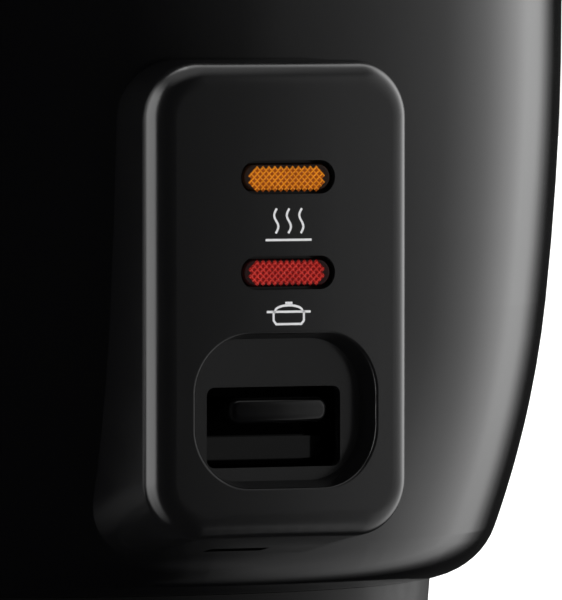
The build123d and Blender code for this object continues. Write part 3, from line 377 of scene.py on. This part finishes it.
def grown(name, tree, **inputs):
    """Runs a geometry tree on an empty mesh and returns the plain mesh it makes."""
    seed = bpy.data.objects.new(name + "_seed", bpy.data.meshes.new(name + "_seed"))
    scene.collection.objects.link(seed)
    modifier = seed.modifiers.new("grow", "NODES")
    modifier.node_group = tree
    sockets = {item.name: item.identifier for item in tree.interface.items_tree
               if item.item_type == "SOCKET" and item.in_out == "INPUT"}
    for key, value in inputs.items():
        modifier[sockets[key]] = value
    bpy.context.view_layer.update()
    depsgraph = bpy.context.evaluated_depsgraph_get()
    mesh = bpy.data.meshes.new_from_object(seed.evaluated_get(depsgraph))
    mesh.name = name
    bpy.data.objects.remove(seed)
    piece = bpy.data.objects.new(name, mesh)
    scene.collection.objects.link(piece)
    return piece


def laid(name, verts, faces, finish):
    """A piece made straight from its points and faces."""
    mesh = bpy.data.meshes.new(name)
    mesh.from_pydata(verts, [], faces)
    mesh.materials.append(finish)
    piece = bpy.data.objects.new(name, mesh)
    scene.collection.objects.link(piece)
    return piece


# ---- lens facets, by geometry nodes ----
def facet_tree(name):
    """A lattice of low pyramids, turned 45 degrees, kept inside a rounded-end slot."""
    tree = blank_tree(name, "Length", "Height", "Pitch", "Rise")
    new = tree.nodes.new
    link = tree.links.new
    given = new("NodeGroupInput").outputs
    result = new("NodeGroupOutput").inputs

    def calc(operation, first, second=0.0):
        node = new("ShaderNodeMath")
        node.operation = operation
        for index, value in enumerate((first, second)):
            if isinstance(value, bpy.types.NodeSocket):
                link(value, node.inputs[index])
            else:
                node.inputs[index].default_value = value
        return node.outputs[0]

    spare = 6.0  # grid points past the slot's length, so that the turned grid covers its ends
    count = new("FunctionNodeFloatToInt")
    link(calc("ADD", calc("DIVIDE", given["Length"], given["Pitch"]), spare), count.inputs[0])
    span = calc("MULTIPLY", calc("SUBTRACT", count.outputs[0], 1.0), given["Pitch"])
    grid = new("GeometryNodeMeshGrid")
    for index in (0, 1):
        link(span, grid.inputs[index])
    for index in (2, 3):
        link(count.outputs[0], grid.inputs[index])
    turn = new("GeometryNodeTransform")
    turn.inputs["Rotation"].default_value = (0, 0, math.radians(45))
    link(grid.outputs[0], turn.inputs[0])

    spot = new("ShaderNodeSeparateXYZ")
    link(new("GeometryNodeInputPosition").outputs[0], spot.inputs[0])
    radius = calc("MULTIPLY", given["Height"], 0.5)
    straight = calc("SUBTRACT", calc("MULTIPLY", given["Length"], 0.5), radius)
    beyond = calc("MAXIMUM", calc("SUBTRACT", calc("ABSOLUTE", spot.outputs[0]), straight), 0.0)
    reach = calc("SQRT", calc("ADD", calc("MULTIPLY", beyond, beyond),
                              calc("MULTIPLY", spot.outputs[1], spot.outputs[1])))
    trim = new("GeometryNodeDeleteGeometry")
    link(turn.outputs[0], trim.inputs[0])
    link(calc("GREATER_THAN", reach, radius), trim.inputs[1])

    cone = new("GeometryNodeMeshCone")
    cone.inputs["Vertices"].default_value = 4
    cone.inputs["Radius Top"].default_value = 0.0
    link(calc("MULTIPLY", given["Pitch"], math.sqrt(0.5)), cone.inputs["Radius Bottom"])
    link(given["Rise"], cone.inputs["Depth"])
    copies = new("GeometryNodeInstanceOnPoints")
    link(trim.outputs[0], copies.inputs["Points"])
    link(cone.outputs[0], copies.inputs["Instance"])
    solid = new("GeometryNodeRealizeInstances")
    link(copies.outputs[0], solid.inputs[0])
    stand = new("GeometryNodeTransform")
    stand.inputs["Rotation"].default_value = (math.radians(90), 0, 0)
    link(solid.outputs[0], stand.inputs[0])
    link(given["Place"], stand.inputs["Translation"])
    paint = new("GeometryNodeSetMaterial")
    link(stand.outputs[0], paint.inputs["Geometry"])
    link(given["Finish"], paint.inputs["Material"])
    link(paint.outputs[0], result[0])
    return tree


def add_lens_facets():
    tree = facet_tree("lens_lattice")
    # CAD node, slot, painted highlight colour on the lines, painted shade colour in the pits, painted
    # glow, how far the field sits below the middle
    lenses = (("keep_warm_lens", "lens_amber", AMBER, AMBER_DEEP, 0.32, 0.3 * MM),
              ("cook_lens", "lens_red", RED, RED_DEEP, 0.34, 0.0))
    for node, slot, highlight_colour, deep, painted_glow, drop in lenses:
        low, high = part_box(node)
        level = (low.z + high.z) / 2
        finish = lens_facet_finish(slot + "_facets", level, highlight_colour, deep, painted_glow)
        piece = grown(node + "_facets", tree, Length=FACET_FIELD_LENGTH, Height=FACET_FIELD_HEIGHT,
                      Pitch=FACET_PITCH, Rise=FACET_RISE, Place=(0.0, low.y, level - drop),
                      Finish=finish)
        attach(piece, "cooker")


# ---- printed signs ----
STROKE_HALF = 0.2 * MM
STROKE_STEP = 0.5 * MM
INK_LIFT = 0.03 * MM


def heat_wave(x, low, high):
    """One rising line of warmth."""
    steps, swing = 12, 0.4
    return [(x + swing * math.sin(2 * math.pi * step / steps), low + (high - low) * step / steps)
            for step in range(steps + 1)]


def warm_sign():
    """Warmth over a tray, as strokes in millimetres about the sign's middle."""
    return [heat_wave(x, -1.2, 2.7) for x in (-2.4, 0.0, 2.4)] + [[(-4.2, -2.5), (4.2, -2.5)]]


def pot_sign():
    """A covered pot with side grips, as strokes in millimetres about the sign's middle."""
    steps = 12
    turns = [math.pi * step / steps for step in range(steps + 1)]
    cover = [(-2.6 * math.cos(turn), 0.55 + 0.95 * math.sin(turn)) for turn in turns]
    body = [(-2.9, 0.4), (-2.9, -1.1), (-2.4, -1.7), (2.4, -1.7), (2.9, -1.1), (2.9, 0.4)]
    return [body, [(-4.0, 0.4), (4.0, 0.4)], cover, [(-0.5, 1.9), (0.5, 1.9)]]


def subdivided(line, step):
    """The same line with no run longer than step."""
    points = [line[0]]
    for start, end in zip(line, line[1:]):
        parts = max(1, math.ceil((end - start).length / step))
        points += [start.lerp(end, part / parts) for part in range(1, parts + 1)]
    return points


def stroke_edges(line, half):
    """The two sides of an open stroke, mitred at its bends and run past its ends by half."""
    sharpest = 0.45  # a mitre is never longer than half / sharpest
    sides = []
    for index, point in enumerate(line):
        into = (point - line[index - 1]).normalized() if index else None
        out = (line[index + 1] - point).normalized() if index + 1 < len(line) else None
        along = ((into or out) + (out or into)).normalized()
        across = Vector((-along.y, along.x))
        reach = half / max(sharpest, along.dot(into or out))
        shift = Vector((0, 0))
        if into is None:
            shift = out * -half
        if out is None:
            shift = into * half
        sides.append((point + across * reach + shift, point - across * reach + shift))
    return sides


def add_sign(name, strokes, level, finish):
    """Printed strokes laid on the panel's face."""
    panel = nodes["panel_housing"]
    verts, faces = [], []

    def lay(point):
        start = Vector((point.x, -1.0, level + point.y))
        _, place, _, _ = panel.ray_cast(start, Vector((0, 1, 0)))
        verts.append((place.x, place.y - INK_LIFT, place.z))

    for stroke in strokes:
        line = subdivided([Vector(point) * MM for point in stroke], STROKE_STEP)
        for index, (left, right) in enumerate(stroke_edges(line, STROKE_HALF)):
            lay(left)
            lay(right)
            if index:
                base = len(verts) - 4
                faces.append((base, base + 1, base + 3, base + 2))
    piece = laid(name, verts, faces, finish)
    for face in piece.data.polygons:
        if face.normal.y > 0:
            face.flip()
    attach(piece, "cooker")


def add_signs():
    """One sign under each lens."""
    ink = printed_ink()
    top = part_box("panel_housing")[1].z
    add_sign("label_warm_sign", warm_sign(), top - 28.15 * MM, ink)
    add_sign("label_pot_sign", pot_sign(), top - 43.3 * MM, ink)


# ---- return spring, by geometry nodes ----
RETURN_SPRING_RADIUS = 12.3 * MM
RETURN_SPRING_TURNS = 4.0


def spring_tree(name):
    """A round wire that climbs a helix."""
    tree = blank_tree(name, "Radius", "Turns", "Height", "Wire")
    new = tree.nodes.new
    link = tree.links.new
    given = new("NodeGroupInput").outputs
    helix = new("GeometryNodeCurveSpiral")
    helix.inputs["Resolution"].default_value = 28
    link(given["Turns"], helix.inputs["Rotations"])
    link(given["Radius"], helix.inputs["Start Radius"])
    link(given["Radius"], helix.inputs["End Radius"])
    link(given["Height"], helix.inputs["Height"])
    section = new("GeometryNodeCurvePrimitiveCircle")
    section.inputs["Resolution"].default_value = 10
    link(given["Wire"], section.inputs["Radius"])
    wire = new("GeometryNodeCurveToMesh")
    wire.inputs["Fill Caps"].default_value = True
    link(helix.outputs[0], wire.inputs["Curve"])
    link(section.outputs[0], wire.inputs["Profile Curve"])
    stand = new("GeometryNodeTransform")
    link(wire.outputs[0], stand.inputs[0])
    link(given["Place"], stand.inputs["Translation"])
    solid = new("GeometryNodeRealizeInstances")
    link(stand.outputs[0], solid.inputs[0])
    paint = new("GeometryNodeSetMaterial")
    link(solid.outputs[0], paint.inputs["Geometry"])
    link(given["Finish"], paint.inputs["Material"])
    link(paint.outputs[0], new("NodeGroupOutput").inputs[0])
    return tree


def add_return_spring(finishes):
    """A wire coil in place of the CAD spring, sized from its box and fixed to the cooker."""
    low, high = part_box("return_spring")
    wire = high.x - RETURN_SPRING_RADIUS
    length = high.z - low.z
    piece = grown("return_spring_coil", spring_tree("return_spring_wire"),
                  Radius=RETURN_SPRING_RADIUS, Turns=RETURN_SPRING_TURNS, Wire=wire,
                  Height=length - 2 * wire, Place=(0.0, 0.0, low.z + wire),
                  Finish=finishes["spring_steel"])
    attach(piece, "cooker")
    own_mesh(piece)
    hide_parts("return_spring")


# ---- latch slot ----
def add_slot_painted_shade():
    """A near-black sheet of painted shade over the mouth of the latch slot, level with the front of
    the surface round it.
    """
    half_width, low_edge, high_edge = 5.6 * MM, 20.35 * MM, 20.95 * MM
    beside = half_width + 1.0 * MM
    stand_off = 0.05 * MM
    steps = 24
    verts, faces = [], []

    def front(x, z):
        hits = [nodes[name].ray_cast(Vector((x, -1.0, z)), Vector((0, 1, 0)))
                for name in ("panel_housing", "outer_shell")]
        return min(place.y for found, place, _, _ in hits if found)

    for column in range(steps + 1):
        x = half_width * (2 * column / steps - 1)
        for z in (low_edge, high_edge):
            nearest = min(front(x, z), front(beside, z), front(-beside, z))
            verts.append((x, nearest - stand_off, z))
        if column:
            base = len(verts) - 4
            faces.append((base, base + 2, base + 3, base + 1))
    # painted shade: a dead black, barely shiny sheet in place of the slot's shadowed inside
    finish = Finish("slot_painted_shade", (0.0004, 0.0004, 0.0004), 0.9, IOR=1.02)
    tone = finish.remap(finish.noise(80), 0.0, 1.0)
    finish.link("Base Color", finish.mix(tone, (0.0003, 0.0003, 0.0003), (0.0006, 0.0006, 0.0006)))
    piece = laid("latch_slot_painted_shade", verts, faces, finish.material)
    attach(piece, "cooker")


# ---- studio ----
def add_floor():
    mesh = bpy.data.meshes.new("floor")
    reach = 6.0
    mesh.from_pydata([(-reach, -reach, 0), (reach, -reach, 0), (reach, reach, 0), (-reach, reach, 0)],
                     [], [(0, 1, 2, 3)])
    floor = bpy.data.objects.new("floor", mesh)
    scene.collection.objects.link(floor)
    finish = Finish("floor_white", (0.86, 0.86, 0.86), 0.9)
    finish.set("Emission Color", (1, 1, 1, 1))
    finish.set("Emission Strength", 0.6)
    mesh.materials.append(finish.material)
    floor.visible_glossy = False


def add_light(name, azimuth, elevation, distance, size, power):
    """A rectangular softbox that faces the cooker's middle."""
    a, e = math.radians(azimuth), math.radians(elevation)
    direction = Vector((math.sin(a) * math.cos(e), -math.cos(a) * math.cos(e), math.sin(e)))
    data = bpy.data.lights.new(name, "AREA")
    data.shape = "RECTANGLE"
    data.size, data.size_y = size
    data.energy = power
    light = bpy.data.objects.new(name, data)
    light.location = direction * distance + Vector((0, 0, 0.08))
    light.rotation_euler = direction.to_track_quat("Z", "Y").to_euler()
    light.visible_glossy = False
    scene.collection.objects.link(light)


ROOM_TOP = 4.0
# (azimuth in degrees, brightness) round the room: a strip on the left, then a slow rise from
# the front to a tall softbox on the right
ROOM = ((-180, 0.02), (-128, 0.02), (-120, 2.4), (-80, 2.4), (-70, 0.02), (-30, 0.0), (0, 0.02),
        (10, 0.06), (24, 0.15), (33, 0.3), (54, 0.5), (77, 0.75), (92, 1.3), (101, 1.8), (111, 2.15),
        (119, 1.5), (124, 0.6), (128, 0.2), (133, 0.02), (180, 0.02))
BOUNCE_LEVEL = 0.36
HIGH_BACK = Vector((0.166, 0.621, 0.766))
HIGH_BACK_LEVEL = 1.6
OVERHEAD_LEVEL = 0.6


def add_world():
    """A dim room with softboxes, seen in reflections; plain white behind."""
    world = bpy.data.worlds.new("studio")
    scene.world = world
    world.use_nodes = True
    tree = world.node_tree
    tree.nodes.clear()

    def add(kind, *values, **kinds):
        node = tree.nodes.new(kind)
        for key, value in kinds.items():
            setattr(node, key, value)
        for index, value in enumerate(values):
            if isinstance(value, bpy.types.NodeSocket):
                tree.links.new(value, node.inputs[index])
            else:
                node.inputs[index].default_value = value
        return node

    split = add("ShaderNodeSeparateXYZ", add("ShaderNodeTexCoord").outputs["Generated"]).outputs
    forward = add("ShaderNodeMath", split[1], -1.0, operation="MULTIPLY").outputs[0]
    azimuth = add("ShaderNodeMath", split[0], forward, operation="ARCTAN2").outputs[0]
    curve = add("ShaderNodeFloatCurve", 1.0,
                add("ShaderNodeMapRange", azimuth, -math.pi, math.pi).outputs[0])
    line = curve.mapping.curves[0]
    points = [((angle + 180) / 360, level / ROOM_TOP) for angle, level in ROOM]
    line.points[0].location = points[0]
    line.points[1].location = points[-1]
    for point in points[1:-1]:
        line.points.new(*point)
    for point in line.points:
        point.handle_type = "VECTOR"
    curve.mapping.update()

    def ramp(value, start, end, low=0.0, high=1.0, kind="SMOOTHSTEP"):
        return add("ShaderNodeMapRange", value, start, end, low, high,
                   interpolation_type=kind).outputs[0]

    def product(*values):
        result = values[0]
        for value in values[1:]:
            result = add("ShaderNodeMath", result, value, operation="MULTIPLY").outputs[0]
        return result

    height = split[2]  # the sine of the elevation, so 0 is the horizon
    # the room's ring, less bright towards the ceiling and the floor
    front = product(curve.outputs[0], ramp(height, 0.5, 0.9, 1.0, 0.0),
                    ramp(height, -0.92, 0.0, 0.0, 1.0, "LINEAR"), ROOM_TOP)
    # a panel straight behind the cooker, above the table
    behind = product(ramp(add("ShaderNodeMath", azimuth, operation="ABSOLUTE").outputs[0],
                          math.radians(154), math.radians(166)), ramp(height, -0.1, 0.05))
    # light off the table, low on the right
    bounce = product(ramp(azimuth, math.radians(28), math.radians(75)),
                     ramp(azimuth, math.radians(85), math.radians(120), 1.0, 0.0),
                     ramp(height, -0.4, -0.15, 1.0, 0.0), ramp(height, -0.95, -0.82),
                     BOUNCE_LEVEL)
    # two softboxes, one high behind and one overhead
    toward = add("ShaderNodeVectorMath", add("ShaderNodeTexCoord").outputs["Generated"],
                 HIGH_BACK, operation="DOT_PRODUCT").outputs["Value"]
    high_back = product(ramp(toward, 0.766, 0.94), HIGH_BACK_LEVEL)
    overhead = product(ramp(height, 0.7, 0.97), OVERHEAD_LEVEL)
    total = front
    for part in (behind, bounce, high_back, overhead):
        total = add("ShaderNodeMath", total, part, operation="ADD").outputs[0]
    # the camera itself sees plain white
    seen = add("ShaderNodeLightPath").outputs["Is Camera Ray"]
    room = add("ShaderNodeBackground", (1, 1, 1, 1), total)
    plain = add("ShaderNodeBackground", (1, 1, 1, 1), 1.0)
    blend = add("ShaderNodeMixShader", seen, room.outputs[0], plain.outputs[0])
    output = tree.nodes.new("ShaderNodeOutputWorld")
    tree.links.new(blend.outputs[0], output.inputs[0])


def add_studio():
    add_floor()
    add_world()
    add_light("overhead", 10, 78, 1.6, (1.6, 1.6), 16)
    add_light("front_left", -75, 35, 1.8, (0.9, 1.2), 1.5)
    scene.view_settings.view_transform = "Standard"
    scene.view_settings.look = "None"


def main():
    add_camera()
    finishes = make_finishes()
    dress_nodes(finishes)
    add_lens_facets()
    add_signs()
    add_slot_painted_shade()
    add_return_spring(finishes)
    add_studio()


main()
